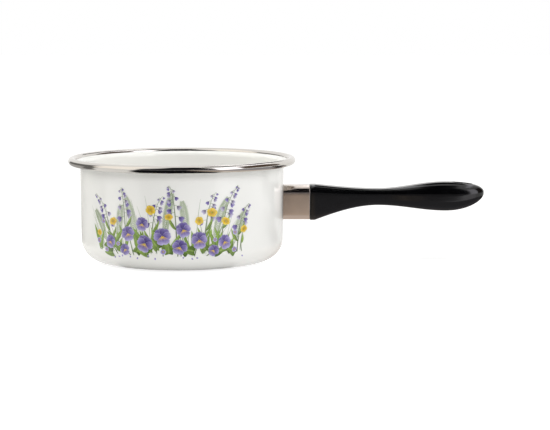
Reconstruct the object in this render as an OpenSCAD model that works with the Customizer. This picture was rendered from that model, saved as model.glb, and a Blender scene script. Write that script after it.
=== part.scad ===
// Enamelled steel saucepan with a rolled steel rim band and a moulded side handle.
// Millimetres. The origin is the middle of the disc that stands on the table, +Z is up
// and the handle points along +X.

/* [Pan] */
// Inner diameter of the mouth, which a lid of the same size fits
mouth_d = 160; // [140:1:200]
// Height from the table to the crest of the rim band
pan_h = 83; // [76:1:130]
// Thickness of the steel sheet with its enamel
sheet_t = 1; // [0.7:0.1:1.6]
// Outer radius of the corner between the wall and the base
corner_r = 17; // [10:0.5:20]
// Height of the pressed step round the disc that stands on the table
base_step = 0.9; // [0.4:0.1:1.6]
// Radial run of that step
step_run = 2.5; // [1.5:0.1:4]
// Width of the raised ring between the step and the corner
base_ring = 2.7; // [1:0.1:8]
// Draft of the wall, in degrees from upright
draft = 0.5; // [0:0.1:1.5]
// Height of the straight neck below the flange, which guides a lid
neck_h = 12; // [6:0.5:14]
// Radius under the bend from the wall to the flange
flange_r = 3; // [2:0.25:5]
// Flat of the flange that shows between the bend and the band
flange_land = 0.2; // [0.2:0.1:3]

/* [Rim band] */
// Radial width of the rolled band
band_w = 6.2; // [5:0.1:9]
// Height of the rolled band
band_h = 6; // [4:0.1:6.2]
// Thickness of the band's sheet
band_t = 0.5; // [0.3:0.05:0.8]

/* [Flame guard] */
// Depth of the guard's middle below the crest of the rim band
handle_drop = 36.5; // [34:0.1:40]
// Length from the pan's wall to the shoulder of the grip
guard_len = 20.9; // [16:0.1:40]
// Height of the guard
guard_h = 27.1; // [26:0.1:32]
// Width of the guard
guard_w = 20.4; // [19:0.1:26]
// Thickness of the guard's sheet
guard_t = 0.6; // [0.4:0.05:1]
// Radius of the guard's upper shoulders
guard_top_r = 6; // [4:0.25:9]
// Radius of the guard's lower edges
guard_low_r = 4; // [3:0.25:8]

/* [Grip] */
// Length from the shoulder to the tip
grip_len = 139.4; // [120:0.2:180]
// How far the grip's front stands proud of the guard
grip_lip = 0.5; // [0.2:0.1:1.5]
// Rounding of the grip's front edge
lip_r = 0.8; // [0.4:0.1:1.5]
// Length of the plain collar at the grip's front
collar_len = 4; // [2:0.1:6]
// Height of the waist
waist_h = 12.8; // [12:0.1:18]
// Width of the waist
waist_w = 17.2; // [15:0.1:22]
// Height of the waist's middle above the guard's middle
waist_rise = 4.1; // [0:0.1:6]
// Height of the palm swell
swell_h = 22.7; // [18:0.1:28]
// Width of the palm swell
swell_w = 26; // [20:0.1:32]
// Height of the swell's middle above the guard's middle
swell_rise = 4.7; // [0:0.1:8]
// Height of the tip above the swell's middle
tip_rise = 3; // [0:0.1:5]
// Width of the hanging slot
hang_w = 8; // [5:0.1:10]
// Length of the hanging slot
hang_len = 15; // [11:0.1:20]
// Distance from the middle of the hanging slot to the tip
hang_back = 17; // [16:0.1:22]

/* [Bracket and fixing] */
// Thickness of the bracket's sheet
bracket_t = 2; // [1.5:0.1:2.4]
// Width of the bracket's foot on the wall
foot_w = 17; // [14:0.5:17]
// Height of the bracket's foot
foot_h = 21; // [18:0.5:22]
// Height of the channel's sides where they leave the foot's gusset
web_h = 11; // [9:0.5:12]
// Length of the gusset behind the foot
gusset_len = 9; // [5:0.5:12]
// Depth of the channel's underside below the guard's middle
web_drop = 4.4; // [3:0.1:4.6]
// Distance from the grip's shoulder to the fixing screw
screw_back = 9; // [8:0.1:12]
// Diameter of the fixing screw
screw_d = 5; // [4:0.1:5.4]
// Diameter of the screw's head
head_d = 8.5; // [7.5:0.1:9]
// Height of the screw's head
head_h = 2.4; // [1.8:0.1:2.8]
// Width across the sides of the square nut
nut_w = 8; // [7:0.1:8.5]
// Thickness of the square nut
nut_t = 4; // [3:0.1:4.5]
// Thickness of the spring washer
washer_t = 0.9; // [0.6:0.1:1.1]

/* [Hidden] */

// Overrun of every cut past the face that it opens
cut = 1;
// Facets of the round solids, and steps of the arcs in an outline
round_fn = 128;
arc_steps = 15;
step_steps = 6;

// Clearances
seam_gap = 0.05;      // band lips to flange
edge_gap = 0.3;       // flange edge to the inside of the band
weld_gap = 0.1;       // bracket foot to wall, filled by enamel
saddle_gap = 0.15;    // guard end to wall
spigot_gap = 0.15;    // grip spigot to the inside of the guard
pocket_gap = 0.3;     // bracket to the pocket in the grip
nut_gap = 0.2;        // nut to the sides of the channel
thread_gap = 0.05;    // screw to nut
bolt_gap = 0.25;      // screw to its plain holes
head_gap = 0.35;      // screw head to its recess
washer_gap = 0.2;     // washer bore to screw

// Pan, from the axis outwards
mouth_r = mouth_d / 2;
wall_r = mouth_r + sheet_t;
rim_r = wall_r + flange_r + flange_land + band_w;
flange_z = pan_h - band_h / 2 - sheet_t / 2 - flange_r;
neck_z = flange_z - neck_h;
corner_z = base_step + corner_r;
corner_x = wall_r - (neck_z - corner_z + corner_r * sin(draft)) * tan(draft)
    - corner_r * cos(draft);
base_r = corner_x - base_ring - step_run;

// Handle, from the wall outwards
handle_z = pan_h - handle_drop;
shoulder_x = wall_r + guard_len;
spigot_len = 5;
waist_share = 0.392;
swell_share = 0.78;
waist_top_r_share = 0.34;
waist_low_r_share = 0.36;
swell_top_r_share = 0.45;
swell_low_r_share = 0.36;
// Steepness with which half width, top, underside and both radii leave the collar, and
// fullness of the tip seen from above and from the side
shoulder_shares = [1, 1.5, 1.6, 1, 1];
tip_fullness = 2.5;
tip_side_fullness = 2;
// Stations and points of the lofted grip
shoulder_steps = 10;
palm_steps = 12;
tip_steps = 13;
tip_last_angle = 88;
section_steps = 9;

// Bracket, nut and screw
channel_w = nut_w + 2 * nut_gap + 2 * bracket_t;
channel_z = handle_z - web_drop;
screw_x = shoulder_x + screw_back;
nose_x = screw_x + nut_w / 2 + bracket_t;
pocket_floor = channel_z - pocket_gap;
seat_wall = 2.6;
seat_z = pocket_floor - seat_wall;
screw_top = channel_z + bracket_t + nut_t + screw_d / 4;
driver_w_share = 0.16;
driver_len_share = 0.6;
driver_depth_share = 0.55;
split_share = 0.25;

// Points of an arc about c, from one angle to another
function arc(c, r, from, to, steps) =
    [for (i = [0 : steps]) let (a = from + (to - from) * i / steps) c + r * [cos(a), sin(a)]];

// A smooth rise from a to b, flat at both ends
function ramp(a, b, steps) =
    [for (i = [0 : steps]) let (u = i / steps, k = (1 - cos(180 * u)) / 2)
        [a[0] + (b[0] - a[0]) * u, a[1] + (b[1] - a[1]) * k]];

// One face of the pan's sheet, from the axis to the flange; inset is 0 outside, sheet_t inside
function pan_face(inset) = concat(
    [[0, inset]],
    ramp([base_r, inset], [base_r + step_run, base_step + inset], step_steps),
    arc([corner_x, corner_z], corner_r - inset, -90, -draft, arc_steps),
    [[wall_r - inset, neck_z]],
    arc([wall_r + flange_r, flange_z], flange_r + inset, 180, 90, arc_steps),
    [[rim_r - band_t - edge_gap, flange_z + flange_r + inset]]);

function backwards(v) = [for (i = [len(v) - 1 : -1 : 0]) v[i]];

module pan_body()
    color("white")
    rotate_extrude($fn = round_fn)
    polygon(concat(pan_face(0), backwards(pan_face(sheet_t))));

// The space inside the outer face of the wall, grown by gap
module wall_form(gap)
    rotate_extrude($fn = round_fn)
    polygon([[0, corner_z],
             [corner_x + corner_r + gap, corner_z],
             [wall_r + gap, neck_z],
             [wall_r + gap, pan_h],
             [0, pan_h]]);

// A bar with round ends, centred
module pill(w, h) {
    for (side = [-1, 1])
        translate([side * (w - h) / 2, 0]) circle(d = h, $fn = round_fn);
    square([w - h, h], center = true);
}

module rim_band()
    color("silver")
    rotate_extrude($fn = round_fn)
    translate([rim_r - band_w / 2, pan_h - band_h / 2])
    difference() {
        pill(band_w, band_h);
        pill(band_w - 2 * band_t, band_h - 2 * band_t);
        translate([-band_w / 2 - cut, -sheet_t / 2 - seam_gap])
            square([band_h / 2 + cut, sheet_t + 2 * seam_gap]);
    }

// Stands a flat shape up across the handle and extrudes it along +X from x
module along_x(x, length)
    translate([x, 0, 0]) rotate([90, 0, 90]) linear_extrude(length) children();

// The guard's outline, shrunk by inset, about the middle of the guard
module guard_shape(inset) {
    top = guard_h / 2 - guard_top_r;
    low = guard_low_r - guard_h / 2;
    top_side = guard_w / 2 - guard_top_r;
    low_side = guard_w / 2 - guard_low_r;
    for (side = [-1, 1]) {
        translate([side * top_side, top]) circle(r = guard_top_r - inset, $fn = round_fn);
        translate([side * low_side, low]) circle(r = guard_low_r - inset, $fn = round_fn);
    }
    translate([inset - guard_w / 2, low]) square([guard_w - 2 * inset, top - low]);
    translate([-top_side, top]) square([2 * top_side, guard_top_r - inset]);
    translate([-low_side, inset - guard_h / 2]) square([2 * low_side, guard_low_r - inset]);
}

module flame_guard()
    color("rosybrown")
    difference() {
        translate([0, 0, handle_z])
        along_x(wall_r - guard_w / 2, guard_len + guard_w / 2)
        difference() {
            guard_shape(0);
            guard_shape(guard_t);
        }
        wall_form(saddle_gap);
    }

// The channel's side, a gusset at the foot that steps down to a plain web
module channel_side()
    rotate([90, 0, 0])
    linear_extrude(bracket_t, center = true)
    polygon([[wall_r - bracket_t, channel_z],
             [nose_x, channel_z],
             [nose_x, channel_z + web_h],
             [wall_r + gusset_len, channel_z + web_h],
             [wall_r, handle_z + foot_h / 2],
             [wall_r - bracket_t, handle_z + foot_h / 2]]);

module handle_bracket()
    color("gray")
    difference() {
        union() {
            intersection() {
                translate([wall_r - bracket_t, -foot_w / 2, handle_z - foot_h / 2])
                    cube([3 * bracket_t, foot_w, foot_h]);
                wall_form(weld_gap + bracket_t);
            }
            for (side = [-1, 1])
                translate([0, side * (channel_w - bracket_t) / 2, 0]) channel_side();
            translate([wall_r - bracket_t, -channel_w / 2, channel_z])
                cube([nose_x - wall_r + bracket_t, channel_w, bracket_t]);
        }
        wall_form(weld_gap);
        translate([screw_x, 0, channel_z - cut])
            cylinder(d = screw_d + 2 * bolt_gap, h = bracket_t + 2 * cut, $fn = round_fn);
    }

module square_nut()
    color("dimgray")
    translate([screw_x, 0, channel_z + bracket_t])
    difference() {
        translate([-nut_w / 2, -nut_w / 2, 0]) cube([nut_w, nut_w, nut_t]);
        translate([0, 0, -cut])
            cylinder(d = screw_d + 2 * thread_gap, h = nut_t + 2 * cut, $fn = round_fn);
    }

module fixing_screw()
    color("lightgray")
    translate([screw_x, 0, seat_z - washer_t])
    difference() {
        union() {
            translate([0, 0, -head_h]) cylinder(d = head_d, h = head_h, $fn = round_fn);
            cylinder(d = screw_d, h = screw_top - seat_z + washer_t, $fn = round_fn);
        }
        for (turn = [0, 90])
            rotate([0, 0, turn])
            translate([-head_d * driver_len_share / 2, -head_d * driver_w_share / 2, -head_h - cut])
            cube([head_d * driver_len_share, head_d * driver_w_share,
                  head_h * driver_depth_share + cut]);
    }

module spring_washer()
    color("darkgray")
    translate([screw_x, 0, seat_z - washer_t])
    difference() {
        cylinder(d = head_d, h = washer_t, $fn = round_fn);
        translate([0, 0, -cut])
            cylinder(d = screw_d + 2 * washer_gap, h = washer_t + 2 * cut, $fn = round_fn);
        rotate([0, 0, 45])
            translate([0, -washer_t * split_share / 2, -cut])
            cube([head_d, washer_t * split_share, washer_t + 2 * cut]);
    }

// Sections of the grip: [half width, top, underside, upper radius, lower radius], with
// the heights above the middle of the guard
function guard_section(grow) = [guard_w / 2 + grow, guard_h / 2 + grow, -guard_h / 2 - grow,
                                guard_top_r + grow, guard_low_r + grow];
waist = [waist_w / 2, waist_rise + waist_h / 2, waist_rise - waist_h / 2,
         waist_h * waist_top_r_share, waist_h * waist_low_r_share];
swell = [swell_w / 2, swell_rise + swell_h / 2, swell_rise - swell_h / 2,
         swell_h * swell_top_r_share, swell_h * swell_low_r_share];

// A cubic that falls from 1 to 0, leaving with the given slope and arriving flat
function settle(u, slope) = 2 * pow(u, 3) - 3 * pow(u, 2) + 1
    - slope * (pow(u, 3) - 2 * pow(u, 2) + u);

// Section between the collar and the waist
function shoulder_section(u) =
    let (collar = guard_section(grip_lip))
    [for (k = [0 : len(waist) - 1])
        waist[k] + (collar[k] - waist[k]) * settle(u, shoulder_shares[k])];

// Section of the tip, at a share s of the way from the swell
function tip_section(s) =
    let (k = pow(1 - pow(s, tip_side_fullness), 1 / tip_side_fullness),
         wide = pow(1 - pow(s, tip_fullness), 1 / tip_fullness),
         mid = swell_rise + tip_rise * s * s)
    [swell_w / 2 * wide, mid + swell_h / 2 * k, mid - swell_h / 2 * k, swell[3] * k, swell[4] * k];

// Stations of the grip: [distance from the shoulder, section]
waist_x = grip_len * waist_share;
swell_x = grip_len * swell_share;
stations = concat(
    [[-spigot_len, guard_section(-guard_t - spigot_gap)],
     [0, guard_section(-guard_t - spigot_gap)],
     [0, guard_section(grip_lip - lip_r)],
     [lip_r * (1 - cos(45)), guard_section(grip_lip - lip_r * (1 - sin(45)))],
     [lip_r, guard_section(grip_lip)]],
    [for (i = [0 : shoulder_steps - 1]) let (u = i / shoulder_steps)
        [collar_len + (waist_x - collar_len) * u, shoulder_section(u)]],
    [for (i = [0 : palm_steps - 1]) let (u = i / palm_steps)
        [waist_x + (swell_x - waist_x) * u, waist + (swell - waist) * (1 - cos(180 * u)) / 2]],
    [for (i = [0 : tip_steps]) let (s = sin(tip_last_angle * i / tip_steps))
        [swell_x + (grip_len - swell_x) * s, tip_section(s)]]);

// Points of one station, round the handle's axis
function ring(st) =
    let (v = st[1], x = shoulder_x + st[0], yt = v[0] - v[3], yl = v[0] - v[4],
         flat = concat(arc([yt, v[1] - v[3]], v[3], 0, 90, section_steps),
                       arc([-yt, v[1] - v[3]], v[3], 90, 180, section_steps),
                       arc([-yl, v[2] + v[4]], v[4], 180, 270, section_steps),
                       arc([yl, v[2] + v[4]], v[4], 270, 360, section_steps)))
    [for (p = flat) [x, p[0], handle_z + p[1]]];

// A closed solid through rings of equally many points
module loft(rings) {
    n = len(rings[0]);
    last = len(rings) - 1;
    sides = [for (i = [0 : last - 1], j = [0 : n - 1])
        let (a = i * n + j, b = i * n + (j + 1) % n) each [[a, a + n, b], [b, a + n, b + n]]];
    ends = [[for (j = [0 : n - 1]) j], [for (j = [n - 1 : -1 : 0]) last * n + j]];
    polyhedron(points = [for (r = rings) each r], faces = concat(sides, ends));
}

module handle_grip()
    color([0.08, 0.08, 0.09])
    difference() {
        loft([for (st = stations) ring(st)]);
        // Pocket for the bracket, open to the front
        translate([shoulder_x - spigot_len - cut, -channel_w / 2 - pocket_gap, pocket_floor])
            cube([nose_x + pocket_gap - shoulder_x + spigot_len + cut,
                  channel_w + 2 * pocket_gap, web_h + 2 * pocket_gap]);
        // Plain hole for the screw and the recess for its head, from below
        translate([screw_x, 0, handle_z - guard_h])
            cylinder(d = screw_d + 2 * bolt_gap, h = guard_h, $fn = round_fn);
        translate([screw_x, 0, handle_z - guard_h])
            cylinder(d = head_d + 2 * head_gap, h = seat_z - handle_z + guard_h, $fn = round_fn);
        // Hanging slot
        translate([shoulder_x + grip_len - hang_back, 0, handle_z - swell_h])
            linear_extrude(2 * swell_h + tip_rise) pill(hang_len, hang_w);
    }

pan_body();
rim_band();
handle_bracket();
square_nut();
flame_guard();
handle_grip();
fixing_screw();
spring_washer();
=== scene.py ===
import bpy
import math
import random
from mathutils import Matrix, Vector


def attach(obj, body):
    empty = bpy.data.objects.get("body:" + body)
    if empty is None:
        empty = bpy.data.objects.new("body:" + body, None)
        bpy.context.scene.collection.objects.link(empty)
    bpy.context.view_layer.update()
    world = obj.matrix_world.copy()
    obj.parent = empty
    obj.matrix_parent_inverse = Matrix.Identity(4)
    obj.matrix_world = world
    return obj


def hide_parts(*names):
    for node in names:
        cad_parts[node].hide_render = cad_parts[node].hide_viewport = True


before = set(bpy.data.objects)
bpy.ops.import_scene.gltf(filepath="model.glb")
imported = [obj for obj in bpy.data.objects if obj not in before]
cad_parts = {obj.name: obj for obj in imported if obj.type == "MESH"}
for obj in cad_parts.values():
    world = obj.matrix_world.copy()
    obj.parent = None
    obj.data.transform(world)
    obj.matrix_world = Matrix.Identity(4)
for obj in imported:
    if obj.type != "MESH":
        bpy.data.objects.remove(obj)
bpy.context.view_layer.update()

MM = 0.001   # the object's sizes are in millimetres, as in part.scad, and the studio's in metres

# ---- camera, first of all
PHOTO_W = 550                       # pixels
PX_PER_MM = 1.246                   # scale of the photo at the camera's target
CAM_DIST, SENSOR_W = 1250.0, 36.0   # mm
CAM_ELEV = math.radians(7.0)        # above the horizon
TARGET = (74.17, 0.0, 35.65)        # mm, seen at the middle of the photo
CLIP_NEAR, CLIP_FAR = 0.05, 50.0    # metres


def new_object(name, data):
    ob = bpy.data.objects.new(name, data)
    bpy.context.scene.collection.objects.link(ob)
    return ob


cam_data = bpy.data.cameras.new("camera")
cam_data.sensor_width = SENSOR_W
cam_data.lens = PX_PER_MM * CAM_DIST / PHOTO_W * SENSOR_W
cam_data.clip_start, cam_data.clip_end = CLIP_NEAR, CLIP_FAR
camera = new_object("camera", cam_data)
camera.location = (TARGET[0] * MM, -CAM_DIST * MM * math.cos(CAM_ELEV),
                   (TARGET[2] + CAM_DIST * math.sin(CAM_ELEV)) * MM)
camera.rotation_euler = (math.pi / 2 - CAM_ELEV, 0, 0)
bpy.context.scene.camera = camera
bpy.context.scene.view_settings.view_transform = "Standard"


# ---- material helpers
def lin(r, g, b):
    """An sRGB colour from 0 to 255, as linear RGBA."""
    out = []
    for v in (r, g, b):
        v /= 255
        out.append(v / 12.92 if v <= 0.04045 else ((v + 0.055) / 1.055) ** 2.4)
    return (*out, 1.0)


NOISE_LOW, NOISE_HIGH = 0.3, 0.7    # where nearly all of a noise's values lie


class Mat:
    """A node material with a Principled shader, and short calls for its patterns in object space (metres)."""

    def __init__(self, name, **sockets):
        self.mat = bpy.data.materials.new(name)
        self.mat.use_nodes = True
        self.nodes, self.links = self.mat.node_tree.nodes, self.mat.node_tree.links
        self.bsdf = self.nodes["Principled BSDF"]
        for key, value in sockets.items():
            self.bsdf.inputs[key.replace("_", " ")].default_value = value

    def node(self, kind, **props):
        n = self.nodes.new("ShaderNode" + kind)
        for key, value in props.items():
            setattr(n, key, value)
        return n

    def to(self, source, socket):
        self.links.new(source, self.bsdf.inputs[socket])

    def feed(self, n, values):
        """Puts numbers on a node's inputs, or links sockets to them."""
        for i, v in enumerate(values):
            if isinstance(v, (int, float)):
                n.inputs[i].default_value = v
            else:
                self.links.new(v, n.inputs[i])
        return n.outputs[0]

    def math(self, op, *values):
        return self.feed(self.node("Math", operation=op), values)

    def vec(self, *values):
        return self.feed(self.node("CombineXYZ"), values)

    def place(self):
        """The point in the object's own space, which is the row's frame."""
        if not hasattr(self, "_place"):
            self._place = self.node("TexCoord").outputs["Object"]
        return self._place

    def xyz(self):
        if not hasattr(self, "_xyz"):
            n = self.node("SeparateXYZ")
            self.links.new(self.place(), n.inputs[0])
            self._xyz = n.outputs
        return self._xyz

    def round_the_axis(self, along, up, out):
        """Coordinates round the pan's axis: along the wall, up it and out from it, each times its own scale."""
        x, y, z = self.xyz()
        angle = self.math("ARCTAN2", y, x)
        radius = self.math("SQRT", self.math("ADD", self.math("MULTIPLY", x, x), self.math("MULTIPLY", y, y)))
        return self.vec(self.math("MULTIPLY", angle, along), self.math("MULTIPLY", z, up),
                        self.math("MULTIPLY", radius, out))

    def noise(self, scale, detail=3.0, rough=0.5, vector=None, distortion=0.0):
        n = self.node("TexNoise")
        self.links.new(vector if vector is not None else self.place(), n.inputs["Vector"])
        n.inputs["Scale"].default_value = scale
        n.inputs["Detail"].default_value = detail
        n.inputs["Roughness"].default_value = rough
        n.inputs["Distortion"].default_value = distortion
        return n.outputs["Fac"]

    def ramp(self, fac, *stops):
        """A colour ramp with stops of (position, colour)."""
        n = self.node("ValToRGB")
        self.links.new(fac, n.inputs[0])
        while len(n.color_ramp.elements) < len(stops):
            n.color_ramp.elements.new(0.5)
        for e, (at, colour) in zip(n.color_ramp.elements, stops):
            e.position = at
            e.color = colour if len(colour) == 4 else (*colour, 1.0)
        return n.outputs["Color"]

    def spread(self, fac, low, high):
        """A noise's usual range, stretched to the range from low to high."""
        n = self.node("MapRange")
        self.links.new(fac, n.inputs["Value"])
        n.inputs["From Min"].default_value, n.inputs["From Max"].default_value = NOISE_LOW, NOISE_HIGH
        n.inputs["To Min"].default_value, n.inputs["To Max"].default_value = low, high
        return n.outputs["Result"]

    def bump(self, *layers):
        """Height layers as (socket, strength, distance in metres), one over the other."""
        last = None
        for height, strength, distance in layers:
            n = self.node("Bump")
            n.inputs["Strength"].default_value = strength
            n.inputs["Distance"].default_value = distance
            self.links.new(height, n.inputs["Height"])
            if last is not None:
                self.links.new(last, n.inputs["Normal"])
            last = n.outputs["Normal"]
        self.to(last, "Normal")


# ---- materials
ENAMEL_SHADE, ENAMEL_WHITE = lin(234, 233, 229), lin(238, 237, 234)
RIM_DARK, RIM_LIGHT = lin(205, 201, 195), lin(228, 225, 220)
GUARD_DARK, GUARD_LIGHT = lin(190, 178, 168), lin(211, 201, 193)
BRACKET_DARK, BRACKET_LIGHT = lin(150, 150, 152), lin(185, 184, 184)
FIXING_DARK, FIXING_LIGHT = lin(176, 176, 178), lin(212, 211, 210)
RESIN_DARK, RESIN_LIGHT = (0.0007, 0.0007, 0.0009), (0.0016, 0.0016, 0.002)
ALONG_LINES, ACROSS_LINES = 55, 5200    # scales of the guard's brushed lines


def enamel():
    m = Mat("enamel_white", Roughness=0.16, IOR=1.52, Coat_Weight=0.35, Coat_Roughness=0.05)
    clouds = m.noise(14, 4, 0.55)
    m.to(m.ramp(clouds, (0.3, ENAMEL_SHADE), (0.7, ENAMEL_WHITE)), "Base Color")
    m.to(m.spread(m.noise(60, 3), 0.13, 0.2), "Roughness")
    m.bump((m.noise(55, 2, 0.4), 0.25, 0.00012), (m.noise(420, 2, 0.5), 0.2, 0.000012))
    return m.mat


def rim_steel():
    m = Mat("rim_steel", Metallic=1.0, Roughness=0.09, Anisotropic=0.25)
    lines = m.noise(1.0, 3, 0.6, m.round_the_axis(2.2, 5200, 5200))
    m.to(m.ramp(lines, (0.25, RIM_DARK), (0.75, RIM_LIGHT)), "Base Color")
    m.to(m.spread(lines, 0.06, 0.14), "Roughness")
    m.bump((m.noise(1.0, 2, 0.5, m.round_the_axis(7, 120, 120)), 0.25, 0.0001), (lines, 0.08, 0.00001))
    return m.mat


def guard_steel():
    m = Mat("guard_steel", Metallic=1.0, Roughness=0.17)
    x, y, z = m.xyz()
    lines = m.noise(1.0, 4, 0.65, m.vec(m.math("MULTIPLY", x, ALONG_LINES), m.math("MULTIPLY", y, ACROSS_LINES),
                                        m.math("MULTIPLY", z, ACROSS_LINES)))
    stain = m.noise(70, 3, 0.5)
    m.to(m.ramp(m.math("MULTIPLY_ADD", lines, 0.5, 0.5), (0.1, GUARD_DARK), (0.5, GUARD_LIGHT)), "Base Color")
    m.to(m.spread(stain, 0.13, 0.2), "Roughness")
    m.bump((lines, 0.06, 0.00001))
    return m.mat


def plain_steel(name, dark, light, rough):
    m = Mat(name, Metallic=1.0, Roughness=rough)
    lines = m.noise(900, 4, 0.6)
    m.to(m.ramp(lines, (0.3, dark), (0.7, light)), "Base Color")
    m.to(m.spread(m.noise(260, 3), rough * 0.8, rough * 1.25), "Roughness")
    m.bump((lines, 0.15, 0.00002))
    return m.mat


def phenolic():
    m = Mat("black_phenolic", Roughness=0.13, IOR=1.52)
    flow = m.noise(38, 5, 0.6, distortion=0.6)
    m.to(m.ramp(flow, (0.3, RESIN_DARK), (0.72, RESIN_LIGHT)), "Base Color")
    m.to(m.spread(m.noise(130, 4), 0.1, 0.17), "Roughness")
    m.bump((m.noise(45, 2), 0.12, 0.0001), (m.noise(2600, 2), 0.05, 0.000006))
    return m.mat


def decal_print():
    """The fired transfer: colours painted on the mesh, with the mottle and grain of a colour wash."""
    m = Mat("decal_print", Roughness=0.2, IOR=1.5, Coat_Weight=0.3, Coat_Roughness=0.06)
    colour = m.node("Attribute", attribute_name="paint").outputs["Color"]
    hsv = m.node("HueSaturation")
    m.links.new(colour, hsv.inputs["Color"])
    m.links.new(m.spread(m.noise(420, 5, 0.6), 0.86, 1.13), hsv.inputs["Value"])
    m.links.new(m.spread(m.noise(900, 2), 0.88, 1.1), hsv.inputs["Saturation"])
    m.to(hsv.outputs["Color"], "Base Color")
    m.bump((m.noise(1500, 2), 0.06, 0.00001))
    return m.mat


MAT_ENAMEL = enamel()
MAT_RIM = rim_steel()
MAT_GUARD = guard_steel()
MAT_BRACKET = plain_steel("bracket_steel", BRACKET_DARK, BRACKET_LIGHT, 0.32)
MAT_FIXING = plain_steel("fastener_steel", FIXING_DARK, FIXING_LIGHT, 0.22)
MAT_GRIP = phenolic()


# ---- mesh helpers
def add_mesh(name, verts, faces, material, crease, replaces=()):
    """A piece from points in millimetres, shaded smooth but for edges sharper than crease degrees."""
    me = bpy.data.meshes.new(name)
    me.from_pydata([(x * MM, y * MM, z * MM) for x, y, z in verts], [], faces)
    me.update()
    me.polygons.foreach_set("use_smooth", [True] * len(me.polygons))
    me.set_sharp_from_angle(angle=math.radians(crease))
    me.materials.append(material)
    ob = new_object(name, me)
    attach(ob, "root")
    if replaces:
        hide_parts(*replaces)
    return ob


def arc(cx, cz, r, start, stop, steps):
    """Points round (cx, cz) from one angle to another, in degrees."""
    return [(cx + r * math.cos(math.radians(start + (stop - start) * i / steps)),
             cz + r * math.sin(math.radians(start + (stop - start) * i / steps))) for i in range(steps + 1)]


ON_AXIS = 1e-6
TURNS = 384     # points round the pan's axis


def lathe(name, loop, material, crease, replaces):
    """Turns a closed loop of (radius, z) round the Z axis. Points on the axis become one vertex."""
    verts, rows = [], []
    for r, z in loop:
        if r < ON_AXIS:
            rows.append([len(verts)] * TURNS)
            verts.append((0.0, 0.0, z))
        else:
            rows.append(list(range(len(verts), len(verts) + TURNS)))
            verts += [(r * math.cos(2 * math.pi * k / TURNS), r * math.sin(2 * math.pi * k / TURNS), z)
                      for k in range(TURNS)]
    faces = []
    for a, b in zip(rows, rows[1:] + rows[:1]):
        for k in range(TURNS):
            n = (k + 1) % TURNS
            face = []
            for v in (a[k], a[n], b[n], b[k]):
                if v not in face:
                    face.append(v)
            if len(face) > 2:
                faces.append(face)
    add_mesh(name, verts, faces, material, crease, replaces)


def bridge(rows):
    """Quads between closed rows of equally many vertex numbers."""
    faces = []
    for a, b in zip(rows, rows[1:]):
        n = len(a)
        faces += [(a[k], a[(k + 1) % n], b[(k + 1) % n], b[k]) for k in range(n)]
    return faces


# ---- sizes, as in the part
MOUTH_R, SHEET = 80.0, 1.0
PAN_H, CORNER_R, BASE_STEP, STEP_RUN, BASE_RING = 83.0, 17.0, 0.9, 2.5, 2.7
DRAFT, NECK_H, FLANGE_R, LAND = 0.5, 12.0, 3.0, 0.2
BAND_W, BAND_H, BAND_T, SEAM, EDGE = 6.2, 6.0, 0.5, 0.05, 0.3
WALL_R = MOUTH_R + SHEET
RIM_R = WALL_R + FLANGE_R + LAND + BAND_W
FLANGE_Z = PAN_H - BAND_H / 2 - SHEET / 2 - FLANGE_R
NECK_Z = FLANGE_Z - NECK_H
CORNER_Z = BASE_STEP + CORNER_R
SIN_D, COS_D, TAN_D = (f(math.radians(DRAFT)) for f in (math.sin, math.cos, math.tan))
CORNER_X = WALL_R - (NECK_Z - CORNER_Z + CORNER_R * SIN_D) * TAN_D - CORNER_R * COS_D
BASE_R = CORNER_X - BASE_RING - STEP_RUN


# ---- pan body
STEP_STEPS, CORNER_STEPS, WALL_STEPS, FLANGE_STEPS = 14, 34, 6, 14


def pan_face(inset):
    """The sheet's outer face, or the inner one at an inset, as (radius, z) from the axis to the flange's edge."""
    side = [(0.0, inset), (BASE_R * 0.4, inset), (BASE_R * 0.8, inset)]
    for i in range(STEP_STEPS + 1):
        u = i / STEP_STEPS
        side.append((BASE_R + STEP_RUN * u, inset + BASE_STEP * (1 - math.cos(math.pi * u)) / 2))
    side += arc(CORNER_X, CORNER_Z, CORNER_R - inset, -90, -DRAFT, CORNER_STEPS)
    x0, z0 = side[-1]
    side += [(x0 + (WALL_R - inset - x0) * k / WALL_STEPS, z0 + (NECK_Z - z0) * k / WALL_STEPS)
             for k in range(1, WALL_STEPS + 1)]
    side += arc(WALL_R + FLANGE_R, FLANGE_Z, FLANGE_R + inset, 180, 90, FLANGE_STEPS)
    side.append((RIM_R - BAND_T - EDGE, FLANGE_Z + FLANGE_R + inset))
    return side


lathe("pan_shell", pan_face(0.0) + pan_face(SHEET)[::-1], MAT_ENAMEL, 40, ("pan_body",))


# ---- rolled rim band
LIP_STEPS, ROLL_STEPS = 14, 28


def band_loop():
    """The band's section: a flattened tube, open where the flange enters it."""
    cx, cz = RIM_R - BAND_W / 2, PAN_H - BAND_H / 2
    half, r = (BAND_W - BAND_H) / 2, BAND_H / 2
    lip = SHEET / 2 + SEAM

    def side(rad):
        a = 180 - math.degrees(math.asin(lip / rad))
        return (arc(cx - half, cz, rad, a, 90, LIP_STEPS) + arc(cx + half, cz, rad, 90, -90, ROLL_STEPS)
                + arc(cx - half, cz, rad, -90, -a, LIP_STEPS))

    return side(r) + side(r - BAND_T)[::-1]


lathe("rim_roll", band_loop(), MAT_RIM, 50, ("rim_band",))


# ---- flame guard
HANDLE_DROP = 36.5
HANDLE_Z = PAN_H - HANDLE_DROP
GUARD_LEN, GUARD_H, GUARD_W, GUARD_T, GUARD_TOP_R, GUARD_LOW_R = 20.9, 27.1, 20.4, 0.6, 6.0, 4.0
GUARD_STEPS = (22, 14, (5, 8, 8, 8))    # points on its upper and lower corners and on the flats between them
SADDLE_GAP, GUARD_EASE = 0.15, 0.12     # to the wall, and the softening of its edges
SHOULDER_X = WALL_R + GUARD_LEN


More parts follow.
